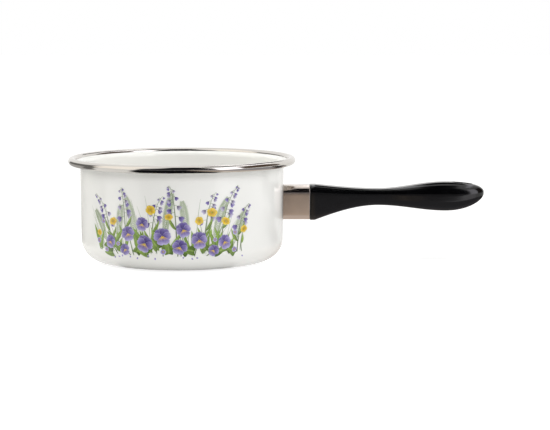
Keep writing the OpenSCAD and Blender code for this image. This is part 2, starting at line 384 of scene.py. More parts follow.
def ring_points(section, steps_top, steps_low, flats):
    """Points (y, z) round a section: (half width, top, underside, upper radius, lower radius)."""
    half_w, top, low, r_top, r_low = section
    yt, yl = half_w - r_top, half_w - r_low
    corners = [arc(yt, top - r_top, r_top, 0, 90, steps_top), arc(-yt, top - r_top, r_top, 90, 180, steps_top),
               arc(-yl, low + r_low, r_low, 180, 270, steps_low), arc(yl, low + r_low, r_low, 270, 360, steps_low)]
    out = []
    for part, nxt, n in zip(corners, corners[1:] + corners[:1], flats):
        out += part
        (y0, z0), (y1, z1) = part[-1], nxt[0]
        out += [(y0 + (y1 - y0) * k / n, z0 + (z1 - z0) * k / n) for k in range(1, n)]
    return out


def wall_radius(z):
    """The outer wall's radius at a height."""
    if z >= NECK_Z:
        return WALL_R
    if z >= CORNER_Z:
        return WALL_R - (NECK_Z - z) * TAN_D
    return CORNER_X + math.sqrt(max(CORNER_R ** 2 - (CORNER_Z - z) ** 2, 0.0))


def make_guard():
    """The sleeve, its end cut to the curve of the wall, as rows along its outside and back along its inside."""
    ease, verts, rows = GUARD_EASE, [], []

    def row(inset, x_of):
        pts = ring_points((GUARD_W / 2 - inset, GUARD_H / 2 - inset, inset - GUARD_H / 2,
                           GUARD_TOP_R - inset, GUARD_LOW_R - inset), *GUARD_STEPS)
        rows.append(list(range(len(verts), len(verts) + len(pts))))
        for y, dz in pts:
            z = HANDLE_Z + dz
            start = math.sqrt((wall_radius(z) + SADDLE_GAP) ** 2 - y * y)
            verts.append((x_of(start), y, z))

    shares = [0.0, 0.012] + [i / 16 for i in range(1, 16)] + [0.988, 1.0]
    row(ease, lambda s: s)
    for share in shares:
        row(0.0, lambda s: s + ease + (SHOULDER_X - ease - s - ease) * share)
    row(ease, lambda s: SHOULDER_X)
    row(GUARD_T - ease, lambda s: SHOULDER_X)
    for share in shares[::-1]:
        row(GUARD_T, lambda s: s + ease + (SHOULDER_X - ease - s - ease) * share)
    row(GUARD_T - ease, lambda s: s)
    add_mesh("guard_sleeve", verts, bridge(rows + [rows[0]]), MAT_GUARD, 50, ("flame_guard",))


make_guard()


# ---- grip
GRIP_LEN, LIP, LIP_R, COLLAR = 139.4, 0.5, 0.8, 4.0
SPIGOT_LEN, SPIGOT_GAP = 5.0, 0.15
WAIST_X, SWELL_X = GRIP_LEN * 0.392, GRIP_LEN * 0.78    # from the shoulder
WAIST_W, WAIST_H, WAIST_RISE = 17.2, 12.8, 4.1
WAIST = (WAIST_W / 2, WAIST_RISE + WAIST_H / 2, WAIST_RISE - WAIST_H / 2, WAIST_H * 0.34, WAIST_H * 0.36)
SWELL_W, SWELL_H, SWELL_RISE, TIP_RISE = 26.0, 22.7, 4.7, 3.0
SWELL = (SWELL_W / 2, SWELL_RISE + SWELL_H / 2, SWELL_RISE - SWELL_H / 2, SWELL_H * 0.45, SWELL_H * 0.36)
SHOULDER_SHARES = (1.0, 1.5, 1.6, 1.0, 1.0)     # how steeply each value of the section leaves the collar
TIP_FULLNESS, TIP_SIDE_FULLNESS, TIP_LAST_ANGLE, TIP_END = 2.5, 2.0, 89.2, 0.02
GRIP_STEPS = (32, 26, (10, 6, 14, 6))   # points on its upper and lower corners and on the flats between them
LIP_TURNS, SHOULDER_ROWS, PALM_ROWS, TIP_ROWS = 7, 56, 44, 112
SLOT_X, SLOT_LEN, SLOT_W = GRIP_LEN - 17.0, 15.0, 8.0
SLOT_EASE, SLOT_PLAY = 1.3, 0.04        # radius of its rounded mouth, and the cut's play at its sides
BRACKET_T, WEB_H, WEB_DROP, NUT_W, NUT_GAP, POCKET_GAP = 2.0, 11.0, 4.4, 8.0, 0.2, 0.3
SCREW_BACK, SEAT_WALL, BOLT_HOLE_R, HEAD_HOLE_R = 9.0, 2.6, 2.75, 4.6
CUT, BELOW_SLOT, PAST_GRIP = 1.0, 23.0, 27.0    # how far the cutters reach


def guard_section(grow):
    """The guard's outer section, grown on all sides."""
    return (GUARD_W / 2 + grow, GUARD_H / 2 + grow, -GUARD_H / 2 - grow, GUARD_TOP_R + grow, GUARD_LOW_R + grow)


def mix(a, b, shares):
    """The section between a and b, each of its values with a share of its own."""
    return tuple(p + (q - p) * w for p, q, w in zip(a, b, shares))


def settle(u, slope):
    """A cubic fall from 1 to 0 that starts at a slope and ends level."""
    return 2 * u ** 3 - 3 * u ** 2 + 1 - slope * (u ** 3 - 2 * u ** 2 + u)


def tip_section(s):
    """The section at a share of the way from the palm swell to the tip."""
    k = (1 - s ** TIP_SIDE_FULLNESS) ** (1 / TIP_SIDE_FULLNESS)
    wide = (1 - s ** TIP_FULLNESS) ** (1 / TIP_FULLNESS)
    mid = SWELL_RISE + TIP_RISE * s * s
    return (SWELL_W / 2 * wide, mid + SWELL_H / 2 * k, mid - SWELL_H / 2 * k, SWELL[3] * k, SWELL[4] * k)


def grip_stations():
    """Stations from the spigot to the tip: (distance from the shoulder, section)."""
    spigot, collar = guard_section(-GUARD_T - SPIGOT_GAP), guard_section(LIP)
    out = [(-SPIGOT_LEN, spigot), (-SPIGOT_LEN / 2, spigot), (0.0, spigot), (0.0, guard_section(LIP - LIP_R))]
    for i in range(1, LIP_TURNS + 1):
        a = math.radians(90 * i / LIP_TURNS)
        out.append((LIP_R * (1 - math.cos(a)), guard_section(LIP - LIP_R * (1 - math.sin(a)))))
    out += [(1.7, collar), (2.6, collar)]
    for i in range(SHOULDER_ROWS):
        u = i / SHOULDER_ROWS
        out.append((COLLAR + (WAIST_X - COLLAR) * u, mix(WAIST, collar, [settle(u, s) for s in SHOULDER_SHARES])))
    for i in range(PALM_ROWS):
        out.append((WAIST_X + (SWELL_X - WAIST_X) * i / PALM_ROWS,
                    mix(WAIST, SWELL, [(1 - math.cos(math.pi * i / PALM_ROWS)) / 2] * len(WAIST))))
    for i in range(TIP_ROWS + 1):
        s = math.sin(math.radians(TIP_LAST_ANGLE * i / TIP_ROWS))
        out.append((SWELL_X + (GRIP_LEN - SWELL_X) * s, tip_section(s)))
    return out


def slot_drop(x, y):
    """How far the surface rolls down towards the rounded mouth of the hanging slot."""
    half = (SLOT_LEN - SLOT_W) / 2
    dx = max(abs(x - SLOT_X) - half, 0.0)
    d = math.hypot(dx, y) - SLOT_W / 2
    if d >= SLOT_EASE:
        return 0.0
    if d <= 0:
        return SLOT_EASE
    return SLOT_EASE - math.sqrt(SLOT_EASE ** 2 - (SLOT_EASE - d) ** 2)


def make_grip():
    verts, rows = [], []
    for x, sec in grip_stations():
        pts = ring_points(sec, *GRIP_STEPS)
        rows.append(list(range(len(verts), len(verts) + len(pts))))
        mid = (sec[1] + sec[2]) / 2
        for y, z in pts:
            drop = slot_drop(x, y) if x > SWELL_X else 0.0
            verts.append((SHOULDER_X + x, y, HANDLE_Z + (z - drop if z > mid else z + drop)))
    faces = bridge(rows)
    faces.append(tuple(rows[0]))
    tip = len(verts)
    verts.append((SHOULDER_X + GRIP_LEN + TIP_END, 0.0, HANDLE_Z + SWELL_RISE + TIP_RISE))
    last = rows[-1]
    faces += [(last[k], last[(k + 1) % len(last)], tip) for k in range(len(last))]
    return add_mesh("grip_moulding", verts, faces, MAT_GRIP, 38, ("handle_grip",))


def prism(name, outline, z0, z1):
    """A cutter: an outline of (x, y), pulled up from z0 to z1."""
    n = len(outline)
    verts = [(x * MM, y * MM, z * MM) for z in (z0, z1) for x, y in outline]
    faces = [tuple(range(n))[::-1], tuple(range(n, 2 * n))]
    faces += [(k, (k + 1) % n, n + (k + 1) % n, n + k) for k in range(n)]
    me = bpy.data.meshes.new(name)
    me.from_pydata(verts, [], faces)
    return new_object(name, me)


def cut_grip(grip):
    """Cuts the bracket's pocket, the screw's hole with its recess, and the hanging slot."""
    screw_x = SHOULDER_X + SCREW_BACK
    channel_z = HANDLE_Z - WEB_DROP
    pocket_floor = channel_z - POCKET_GAP
    seat_z = pocket_floor - SEAT_WALL
    half_w = NUT_W / 2 + NUT_GAP + BRACKET_T + POCKET_GAP
    nose = screw_x + NUT_W / 2 + BRACKET_T + POCKET_GAP
    back = SHOULDER_X - SPIGOT_LEN - CUT
    half, slot_r = (SLOT_LEN - SLOT_W) / 2, SLOT_W / 2 + SLOT_PLAY
    cx = SHOULDER_X + SLOT_X
    slot = arc(cx + half, 0, slot_r, -90, 90, 40) + arc(cx - half, 0, slot_r, 90, 270, 40)
    tools = [
        prism("cut_pocket", [(back, -half_w), (nose, -half_w), (nose, half_w), (back, half_w)],
              pocket_floor, pocket_floor + WEB_H + 2 * POCKET_GAP),
        prism("cut_hole", arc(screw_x, 0, BOLT_HOLE_R, 0, 360, 47)[:-1], seat_z - CUT, pocket_floor + CUT),
        prism("cut_recess", arc(screw_x, 0, HEAD_HOLE_R, 0, 360, 71)[:-1], HANDLE_Z - PAST_GRIP, seat_z),
        prism("cut_slot", slot, HANDLE_Z - BELOW_SLOT, HANDLE_Z + PAST_GRIP),
    ]
    for t in tools:
        mod = grip.modifiers.new(t.name, "BOOLEAN")
        mod.operation, mod.object, mod.solver = "DIFFERENCE", t, "EXACT"
    dg = bpy.context.evaluated_depsgraph_get()
    done = bpy.data.meshes.new_from_object(grip.evaluated_get(dg), depsgraph=dg)
    grip.modifiers.clear()
    grip.data = done
    for t in tools:
        bpy.data.objects.remove(t)
    done.polygons.foreach_set("use_smooth", [True] * len(done.polygons))
    done.set_sharp_from_angle(angle=math.radians(42))
    if not done.materials:
        done.materials.append(MAT_GRIP)


cut_grip(make_grip())


# ---- bracket and fixing, carried over from the part
for node, material in (("handle_bracket", MAT_BRACKET), ("square_nut", MAT_FIXING),
                       ("fixing_screw", MAT_FIXING), ("spring_washer", MAT_FIXING)):
    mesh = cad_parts[node].data
    mesh.materials.clear()
    mesh.materials.append(material)


# ---- helpers for colours and soft edges
def blend(a, b, k):
    """The colour a share k of the way from a to b."""
    return tuple(p + (q - p) * k for p, q in zip(a, b))


def step(lo, hi, x):
    """A soft step from 0 at lo to 1 at hi."""
    t = min(max((x - lo) / (hi - lo), 0.0), 1.0)
    return t * t * (3 - 2 * t)


def span(lo, hi, edge, x):
    """1 between lo and hi, with soft edges."""
    return step(lo - edge, lo + edge, x) * (1 - step(hi - edge, hi + edge, x))


# ---- decal: a generic strip of meadow flowers
DECAL_ANGLE = math.radians(-95.4)   # middle of the strip, round the pan's axis
DECAL_FOOT = 13.0                   # its lower edge above the table
PRINT_LIFT, LAYER = 0.03, 0.008     # how far the print stands off the wall, and each layer off the last
CELL = 0.6                          # grid on which layers are counted
INK, VIOLET, LAVENDER, LILAC = lin(62, 52, 100), lin(100, 88, 150), lin(146, 134, 190), lin(203, 196, 226)
MOSS, LEAF, SPRING = lin(76, 98, 48), lin(116, 148, 66), lin(170, 197, 106)
SAGE, MIST = lin(146, 158, 132), lin(190, 198, 180)
YELLOW, GOLD, AMBER, ASHEN = lin(238, 215, 98), lin(214, 176, 60), lin(168, 112, 44), lin(134, 127, 146)


def on_wall(u, v, lift):
    """The point of the outer wall u mm along it and at height v, lifted off by lift mm."""
    if v >= CORNER_Z:
        r, z = wall_radius(v) + lift, v
    else:
        a = (CORNER_Z - v) / CORNER_R
        r, z = CORNER_X + (CORNER_R + lift) * math.cos(a), CORNER_Z - (CORNER_R + lift) * math.sin(a)
    angle = DECAL_ANGLE + u / WALL_R
    return (r * math.cos(angle), r * math.sin(angle), z)


def curve(p0, p1, p2, piece=1.4):
    """A curved path of short pieces from p0 to p2, drawn towards p1."""
    n = max(4, int((math.dist(p0, p1) + math.dist(p1, p2)) / piece))
    return [((1 - t) ** 2 * p0[0] + 2 * t * (1 - t) * p1[0] + t * t * p2[0],
             (1 - t) ** 2 * p0[1] + 2 * t * (1 - t) * p1[1] + t * t * p2[1]) for t in (i / n for i in range(n + 1))]


class Decal:
    """Painted patches in (u, v): u along the wall in mm, v the height above its foot."""

    def __init__(self, seed):
        self.rnd, self.patches, self.tops = random.Random(seed), [], {}

    def patch(self, rows, colours):
        """Adds a grid of points with their colours, on top of all that it overlaps."""
        cells = set()
        for a, b in zip(rows, rows[1:]):
            for j in range(len(a) - 1):
                for s in (0.0, 0.5, 1.0):
                    for t in (0.0, 0.5, 1.0):
                        u, v = (sum(w * p[k] for w, p in (((1 - s) * (1 - t), a[j]), (s * (1 - t), a[j + 1]),
                                                          ((1 - s) * t, b[j]), (s * t, b[j + 1]))) for k in (0, 1))
                        cells.add((round(u / CELL), round(v / CELL)))
        layer = 1 + max(self.tops.get(c, -1) for c in cells)
        for c in cells:
            self.tops[c] = layer
        self.patches.append((rows, colours, layer))

    def grid(self, shape, tint, rows, half):
        """A patch from shape(t, s) and tint(t, s), with t from 0 to 1 along it and s from -1 to 1 across."""
        ts, ss = [i / rows for i in range(rows + 1)], [j / half for j in range(-half, half + 1)]
        self.patch([[shape(t, s) for s in ss] for t in ts], [[tint(t, s) for s in ss] for t in ts])

    def stroke(self, path, width, start, end, taper=0.25):
        """A stem or blade along a path, thinning towards its end, lit from its right."""
        rows, colours, n = [], [], len(path)
        for i, (u, v) in enumerate(path):
            a, b, t = path[max(i - 1, 0)], path[min(i + 1, n - 1)], i / (n - 1)
            w = width / 2 * (1 - (1 - taper) * t) * min(1.0, 0.55 + 3 * t) / (math.dist(a, b) or 1.0)
            du, dv = (b[0] - a[0]) * w, (b[1] - a[1]) * w
            rows.append([(u - dv, v + du), (u, v), (u + dv, v - du)])
            c = blend(start, end, t)
            colours.append([blend(c, MOSS, 0.3), c, blend(c, MIST, 0.3)])
        self.patch(rows, colours)

    def leaf(self, base, angle, length, width, bend, dark, light, lobe=0.0):
        """A pointed leaf with a pale midrib and side veins. A lobe makes it heart-shaped."""
        def shape(t, s):
            a = angle + bend * t
            full = max(math.sin(math.pi * min(t, 1.0) ** (0.56 if lobe else 0.8)), 0.01) ** (0.85 if lobe else 1.0)
            reach, w = length * (t - lobe * abs(s) * full * (1 - t)), width / 2 * full
            return (base[0] + reach * math.cos(angle + bend * t / 2) - math.sin(a) * w * s,
                    base[1] + reach * math.sin(angle + bend * t / 2) + math.cos(a) * w * s)

        def tint(t, s):
            c = blend(dark, light, 0.12 + 0.5 * t + 0.24 * s)
            vein = max(0.0, math.cos(14 * t + 5 * abs(s))) ** 6
            return blend(blend(c, light, 0.35 * vein * abs(s)), SPRING, 0.55 * (abs(s) < 0.08))
        self.grid(shape, tint, max(8, int(length / 1.1)), 4)

    def petal(self, centre, angle, length, width, squash, turn, tones, blunt=0.8, notch=0.1, vein=0.3):
        """A rounded petal from a flower's centre. Its tones run from the throat over the middle to the edge."""
        ct, st = math.cos(turn), math.sin(turn)
        inner, mid, outer = tones

        def shape(t, s):
            w = width / 2 * math.sin(math.pi * min(t * 0.84 + 0.05, 1.0) ** 1.25) ** blunt
            reach = length * t * (1 - notch * t * t * (1 - abs(s)) ** 2 - 0.12 * s * s * t)
            x = reach * math.cos(angle) - w * s * math.sin(angle)
            y = (reach * math.sin(angle) + w * s * math.cos(angle)) * squash
            return (centre[0] + x * ct - y * st, centre[1] + x * st + y * ct)

        def tint(t, s):
            c = blend(inner, mid, min(1.0, t * 2.4)) if t < 0.42 else blend(mid, outer, (t - 0.42) / 0.58)
            line = max(0.0, math.cos(s * 12)) ** 3 * max(0.0, 1 - 1.25 * t)
            rim = max(0.0, t - 0.86) / 0.14 + max(0.0, abs(s) - 0.8) / 0.2
            return blend(blend(c, INK, vein * line), LILAC if vein else YELLOW, min(0.55, 0.45 * rim))
        self.grid(shape, tint, 11, 5)

    def disc(self, centre, radius, inner, outer, squash=1.0, turn=0.0):
        """A round eye or anther."""
        ct, st = math.cos(turn), math.sin(turn)

        def shape(t, s):
            r, a = radius * max(t, 0.06), math.pi * s
            x, y = r * math.cos(a), r * math.sin(a) * squash
            return (centre[0] + x * ct - y * st, centre[1] + x * st + y * ct)
        self.grid(shape, lambda t, s: blend(inner, outer, t * t), 3, 8)

    def viola(self, centre, size, turn, deep):
        """Two dark upper petals, two side ones and a broad lower one with a veined yellow throat."""
        rnd, squash = self.rnd, self.rnd.uniform(0.84, 0.98)
        dark = (blend(VIOLET, INK, 0.6), blend(VIOLET, INK, 0.25 + deep), blend(LAVENDER, VIOLET, 0.6 + deep))
        side = (blend(VIOLET, INK, 0.5), blend(VIOLET, LAVENDER, 0.35 - deep), blend(LAVENDER, LILAC, 0.35 - deep))
        front = (GOLD, blend(VIOLET, LAVENDER, 0.6 - deep), blend(LAVENDER, LILAC, 0.6 - deep))
        for angle, reach, wide, tones in ((112, 0.52, 0.52, dark), (66, 0.52, 0.52, dark), (172, 0.47, 0.46, side),
                                          (8, 0.47, 0.46, side), (-90, 0.5, 0.64, front)):
            self.petal(centre, math.radians(angle + rnd.uniform(-4, 4)), size * reach * rnd.uniform(0.95, 1.05),
                       size * wide, squash, turn, tones, 0.62, 0.14, 0.75)
        self.disc((centre[0] + size * 0.02 * math.sin(turn), centre[1] - size * 0.02), size * 0.062, YELLOW, GOLD)
        self.disc(centre, size * 0.026, AMBER, INK)

    def round_flower(self, centre, size, tones, eye, vein=0.0):
        """Five round petals about an eye with a ring of anthers."""
        rnd, squash = self.rnd, self.rnd.uniform(0.74, 0.98)
        turn, first = rnd.uniform(-0.5, 0.5), rnd.uniform(0, 2 * math.pi)
        for k in (0, 2, 4, 1, 3):
            shade = rnd.uniform(0, 0.25)
            shaded = (tones[0], blend(tones[1], tones[0], shade), blend(tones[2], tones[1], shade))
            self.petal(centre, first + 2 * math.pi * k / 5, size / 2, size * 2.4 / 5, squash, turn, shaded,
                       0.7, 0.12, vein)
        self.disc(centre, size * 0.11, *eye, squash, turn)
        for k in range(7):
            a = first + 2 * math.pi * k / 7
            self.disc((centre[0] + math.cos(a) * size * 0.15, centre[1] + math.sin(a) * size * 0.15 * squash),
                      size * 0.024, GOLD, AMBER)

    def bells(self, foot, lean, height, side):
        """An arching stem hung with small bells, larger below and still closed at the top."""
        top = (foot[0] + lean, foot[1] + height)
        path = curve(foot, (foot[0] + lean * 0.1, foot[1] + height * 0.8), top)
        self.stroke(path, 0.9, MOSS, SAGE)
        n = len(path)
        for k, i in enumerate(range(int(n * 0.4), n, 2)):
            u, v = path[i]
            open_, s = 1 - (i / n - 0.4) / 0.6, side if k % 3 else -side
            size, a = 1.7 + 2.7 * open_, -math.pi / 2 + s * (0.5 + 0.45 * open_)
            hook = (u + s * (0.9 + 1.8 * open_), v - 0.1)
            self.stroke(curve((u, v), (u + s, v + 0.9), hook, 0.6), 0.3, SAGE, LEAF, 0.8)
            tones = (INK, ASHEN, LILAC) if k % 2 else (INK, VIOLET, LAVENDER)
            for spread in (-0.34, 0.34, 0.0):
                self.petal(hook, a + spread, size * (1.05 if spread else 0.95), size * 0.55, 1.0, 0.0, tones,
                           0.8, 0.0, 0.2)
        for k, i in enumerate((n // 7, n // 4)):
            self.leaf(path[i], math.pi / 2 + (0.75 - 1.5 * k) * side, 12, 2.4, (k - 0.5) * side, MOSS, SPRING)

    def fern(self, foot, lean, height, pale):
        """A fine spray with pairs of narrow leaflets."""
        path = curve(foot, (foot[0] + lean * 0.15, foot[1] + height * 0.6), (foot[0] + lean, foot[1] + height))
        tone = blend(SAGE, MIST, pale)
        self.stroke(path, 0.55, tone, blend(tone, MIST, 0.5))
        n = len(path)
        for i in range(int(n * 0.25), n - 1):
            (u, v), (u2, v2) = path[i], path[i + 1]
            way, size = math.atan2(v2 - v, u2 - u), 4.6 * math.sin(math.pi * (i / n) ** 1.2) + 1.0
            for s in (-1, 1):
                self.leaf((u, v), way + s * 0.85, size, 0.85, -0.35 * s, tone, blend(tone, LEAF, 0.35 * (1 - pale)))

    def build(self):
        """One mesh of all patches, on the wall and each on its layer."""
        verts, faces, paint = [], [], []
        for rows, colours, layer in self.patches:
            base, w = len(verts), len(rows[0])
            for row, crow in zip(rows, colours):
                verts += [on_wall(u, v + DECAL_FOOT, PRINT_LIFT + LAYER * layer) for u, v in row]
                paint += crow
            for i in range(len(rows) - 1):
                for a in range(base + i * w, base + i * w + w - 1):
                    faces.append((a, a + 1, a + w + 1, a + w))
        ob = add_mesh("wall_decal", verts, faces, decal_print(), 60)
        attr = ob.data.color_attributes.new("paint", "FLOAT_COLOR", "POINT")
        attr.data.foreach_set("color", [v for c in paint for v in (*c[:3], 1.0)])
        self.atlas(ob.data)

    def atlas(self, me):
        """A UV map for the bake that lays the patches side by side on shelves."""
        margin, boxes = 0.3, []     # mm round each patch
        for rows, _, _ in self.patches:
            us, vs = [p[0] for row in rows for p in row], [p[1] for row in rows for p in row]
            boxes.append((min(us), min(vs), max(us) - min(us) + 2 * margin, max(vs) - min(vs) + 2 * margin))
        wide = math.sqrt(sum(w * h for _, _, w, h in boxes)) * 1.06
        x = y = shelf = 0.0
        flat = [None] * len(boxes)
        for k in sorted(range(len(boxes)), key=lambda k: -boxes[k][3]):
            u0, v0, w, h = boxes[k]
            if x + w > wide:
                x, y, shelf = 0.0, y + shelf, 0.0
            flat[k] = [(u - u0 + margin + x, v - v0 + margin + y) for row in self.patches[k][0] for u, v in row]
            x, shelf = x + w, max(shelf, h)
        side, uv = max(wide, y + shelf), [p for patch in flat for p in patch]
        layer = me.uv_layers.new(name="OFBake")
        layer.data.foreach_set("uv", [c / side for loop in me.loops for c in uv[loop.vertex_index]])


MEADOW_SEED, GRASSES, LEAVES, STARS = 11, 30, 40, 90


def meadow():
    """Lays the plants from back to front. Rows of numbers are in mm along and up the wall."""
    d = Decal(MEADOW_SEED)
    rnd = d.rnd
    # far behind: pale grasses and ferns that fan out
    for k in range(GRASSES):
        u0 = -60 + 120 * k / (GRASSES - 1) + rnd.uniform(-2, 2)
        lean, h = u0 * 0.2 + rnd.uniform(-6, 6), rnd.uniform(26, 50) * (1 - 0.3 * abs(u0) / 70)
        tone = blend(SAGE, MIST, rnd.uniform(0.2, 0.9))
        d.stroke(curve((u0, rnd.uniform(2, 5)), (u0 + lean * 0.2, h * 0.6), (u0 + lean, h)), 0.8, tone,
                 blend(tone, MIST, 0.6))
    for u0, lean, h, pale in ((-52, -14, 30, 0.5), (-24, -9, 43, 0.7), (-2, 7, 46, 0.55), (16, -4, 40, 0.8),
                              (36, 12, 42, 0.5), (52, 12, 31, 0.75), (-40, 3, 36, 0.85)):
        d.fern((u0, 3), lean, h, pale)
    # arching stems hung with bells
    for u0, lean, h, side in ((-47, -17, 42, -1), (-33, -4, 49, 1), (-12, 9, 43, 1), (8, -5, 51, -1),
                              (29, 9, 46, 1), (42, 15, 50, 1), (56, 11, 36, 1)):
        d.bells((u0, 3), lean, h, side)
    # leaves round the feet of the stems
    for k in range(LEAVES):
        u0 = max(-60.0, min(62.0, rnd.gauss(0, 32)))
        d.leaf((u0, rnd.uniform(2, 6)), math.pi / 2 - u0 / 110 + rnd.uniform(-0.9, 0.9), rnd.uniform(11, 21),
               rnd.uniform(2.2, 3.8), rnd.uniform(-0.7, 0.7), blend(MOSS, LEAF, rnd.random()),
               blend(LEAF, SPRING, rnd.random()))
    for u0, v0, way in ((-38, 6, 2.4), (-24, 3, 1.0), (-6, 7, 2.3), (12, 3, 0.9), (30, 5, 2.1), (47, 4, 0.9),
                        (-53, 5, 0.8), (-14, 3, 3.0), (37, 3, 0.3), (2, 3, 1.6), (21, 5, 2.9), (-46, 2, 3.3),
                        (54, 2, 2.5)):
        d.leaf((u0, v0), way, rnd.uniform(8, 10), rnd.uniform(6, 7.5), rnd.uniform(-0.3, 0.3), MOSS,
               blend(LEAF, SPRING, rnd.uniform(0.2, 0.8)), 0.3)
    # buttercups on their stems, and the stems of the violas
    gold = (AMBER, GOLD, YELLOW)
    cups = ((-42, -3, 26, 8), (-8, -4, 36, 8.5), (-1, 3, 31, 7), (33, 2, 34, 9), (41, 5, 27, 8), (27, -2, 28, 7),
            (60, 2, 20, 7), (-59, -2, 16, 6))
    violas = ((-31, 17, 13, 0.3, 0.1), (-19, 25, 11.5, -0.2, 0.0), (-17, 10, 15, -0.35, 0.15),
              (-3, 16, 15.5, 0.15, 0.0), (10, 8, 13.5, -0.3, 0.2), (13, 21, 12.5, 0.4, 0.05),
              (25, 13, 14.5, 0.1, 0.1), (45, 11, 12, 0.35, 0.0), (-48, 10, 11, -0.3, 0.05),
              (36, 5, 10, -0.5, 0.2), (-34, 5, 9.5, 0.5, 0.2))
    for u0, lean, h, size in cups:
        d.stroke(curve((u0, 3), (u0 - lean, h * 0.5), (u0 + lean, h)), 0.75, MOSS, LEAF)
        d.leaf((u0, h * 0.45), 1.2, 7, 1.8, 0.4, LEAF, SPRING)
    for u0, v0, _, _, _ in violas:
        d.stroke(curve((u0 * 0.85, 1), (u0 * 0.9, v0 * 0.5), (u0, v0)), 0.9, MOSS, LEAF)
    for u0, lean, h, size in cups:
        d.round_flower((u0 + lean, h), size, gold, (LEAF, GOLD))
    # violas, the largest blossoms: across, height, size, turn, depth of colour
    for u0, v0, size, turn, deep in violas:
        d.viola((u0, v0), size, turn, deep)
    # small stars and fallen petals where there is room
    taken = [(u, v, s / 2) for u, v, s, _, _ in violas] + [(u + n, v, s / 2) for u, n, v, s in cups]
    for k in range(STARS):
        u0, v0 = rnd.uniform(-62, 64), rnd.uniform(0, 12) if k % 3 else rnd.uniform(12, 26)
        size = rnd.uniform(3.6, 5.2) if k % 3 == 0 or v0 > 3 else 0.0
        if any(math.dist((u0, v0), (u, v)) < r + size / 2 for u, v, r in taken):
            continue
        taken.append((u0, v0, size / 2 + 2))
        if size:
            d.round_flower((u0, v0), size, (VIOLET, LAVENDER, LILAC), (AMBER, YELLOW), 0.25)
        else:
            d.petal((u0, v0 - 2), rnd.uniform(0, 6.28), rnd.uniform(1.6, 2.4), 1.4, 1.0, 0.0,
                    (VIOLET, LAVENDER, LILAC))
    d.build()


meadow()


# ---- floor and backdrop
def bare_material(name):
    """A material with nothing but its output node."""
    mat = bpy.data.materials.new(name)
    mat.use_nodes = True
    nt = mat.node_tree
    nt.nodes.clear()
    return mat, nt, nt.nodes.new("ShaderNodeOutputMaterial")


def seen_directly(nt):
    """1 for rays of the camera, of reflections and through glass, and 0 for light that scatters."""
    path = nt.nodes.new("ShaderNodeLightPath")
    last = path.outputs["Is Camera Ray"]
    for other in ("Is Glossy Ray", "Is Transmission Ray"):
        top = nt.nodes.new("ShaderNodeMath")
        top.operation = "MAXIMUM"
        nt.links.new(last, top.inputs[0])
        nt.links.new(path.outputs[other], top.inputs[1])
        last = top.outputs[0]
    return last


def staged(name, verts, faces, material, colours=None):
    """A surface of the studio, in metres. It isn't part of the object."""
    me = bpy.data.meshes.new(name)
    me.from_pydata(verts, [], faces)
    me.materials.append(material)
    if colours:
        attr = me.color_attributes.new("glow", "FLOAT_COLOR", "POINT")
        attr.data.foreach_set("color", [v for c in colours for v in (*c, 1.0)])
    ob = new_object(name, me)
    return ob


FLOOR_NEAR, FLOOR_ROUND, FLOOR_FAR = 0.78, 0.61, 0.91   # its own glow, under the object, round it and far out; the stronger glow under the object is a painted pool of light that pales its contact shadow
GLOW_POOL_EDGE, HORIZON, UNDER_EDGE = (0.1, 0.2), (0.8, 2.2), (0.1, 0.16)     # where one changes to the next, in metres
FLOOR_SHADE, FLOOR_BOUNCE, FLOOR_UNDER = 0.5, 0.8, 0.13     # its grey when seen, its grey as a light, its glow then


def floor_material():
    """White with the object's soft shadow on it, and a plain pale grey where it only lights the object. Under the
    object its glow is stronger, a painted pool of light that pales the contact shadow.
    """
    mat, nt, out = bare_material("floor_pale")
    place = nt.nodes.new("ShaderNodeTexCoord").outputs["Object"]
    length = nt.nodes.new("ShaderNodeVectorMath")
    length.operation = "LENGTH"
    nt.links.new(place, length.inputs[0])

    def ramp(edge, low, high):
        """A soft change with the distance from the pan's axis."""
        n = nt.nodes.new("ShaderNodeMapRange")
        n.interpolation_type = "SMOOTHSTEP"
        nt.links.new(length.outputs["Value"], n.inputs["Value"])
        for socket, value in (("From Min", edge[0]), ("From Max", edge[1]), ("To Min", low), ("To Max", high)):
            n.inputs[socket].default_value = value
        return n.outputs["Result"]

    def lit(grey, strength):
        """Plain diffuse grey with a white glow added."""
        glow = nt.nodes.new("ShaderNodeEmission")
        glow.inputs["Color"].default_value = (1, 1, 1, 1)
        nt.links.new(strength, glow.inputs["Strength"])
        shade = nt.nodes.new("ShaderNodeBsdfDiffuse")
        shade.inputs["Color"].default_value = (grey, grey, grey, 1)
        both = nt.nodes.new("ShaderNodeAddShader")
        nt.links.new(shade.outputs[0], both.inputs[0])
        nt.links.new(glow.outputs[0], both.inputs[1])
        return both.outputs[0]

    total = nt.nodes.new("ShaderNodeMath")
    # painted pool of light: more glow under the object, which pales its contact shadow
    nt.links.new(ramp(GLOW_POOL_EDGE, FLOOR_NEAR, FLOOR_ROUND), total.inputs[0])
    nt.links.new(ramp(HORIZON, 0.0, FLOOR_FAR - FLOOR_ROUND), total.inputs[1])
    mixer = nt.nodes.new("ShaderNodeMixShader")
    nt.links.new(seen_directly(nt), mixer.inputs[0])
    nt.links.new(lit(FLOOR_BOUNCE, ramp(UNDER_EDGE, FLOOR_UNDER, 0.0)), mixer.inputs[1])
    nt.links.new(lit(FLOOR_SHADE, total.outputs[0]), mixer.inputs[2])
    nt.links.new(mixer.outputs[0], out.inputs["Surface"])
    return mat


FLOOR_HALF, FLOOR_Z = 8.0, -0.0002      # metres
staged("floor", [(x * FLOOR_HALF, y * FLOOR_HALF, FLOOR_Z) for x, y in ((-1, -1), (1, -1), (1, 1), (-1, 1))],
       [(0, 1, 2, 3)], floor_material())

WORLD_WHITE, WORLD_FILL, WORLD_TINT = 1.0, 0.33, (0.99, 0.995, 0.965, 1)


